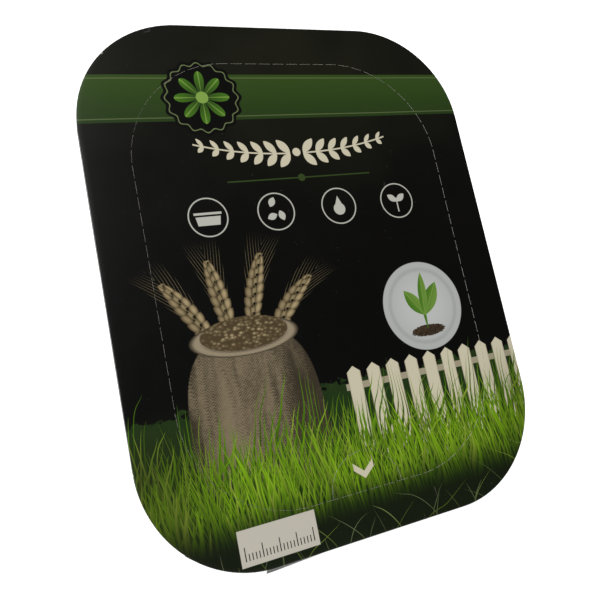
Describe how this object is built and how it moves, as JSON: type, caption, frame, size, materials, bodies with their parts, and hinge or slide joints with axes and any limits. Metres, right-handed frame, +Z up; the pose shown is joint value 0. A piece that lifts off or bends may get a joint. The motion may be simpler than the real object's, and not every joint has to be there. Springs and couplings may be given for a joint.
{
  "type": "cat grass growing kit pack",
  "caption": "Closed growing kit: a printed card lid with a tear-out panel folded over a black plastic tray that holds a soil bag, a seed sachet and a folded net.",
  "frame": {"origin": "centre of the pack's footprint, on the surface it stands on", "axes": "+Z up through the lid, +Y along the pack to the lid's top edge, +X to the right when the lid is read"},
  "size_m": [0.18, 0.227, 0.04],
  "materials": {
    "tray": "satin",
    "lid": "satin",
    "soil_bag": "gloss",
    "seed_sachet": "matte",
    "cover_net": "matte"
  },
  "bodies": {
    "root": {"tray": "tray", "lid": "lid", "soil_bag": "soil_bag", "seed_sachet": "seed_sachet", "cover_net": "cover_net"}
  },
  "joints": []
}
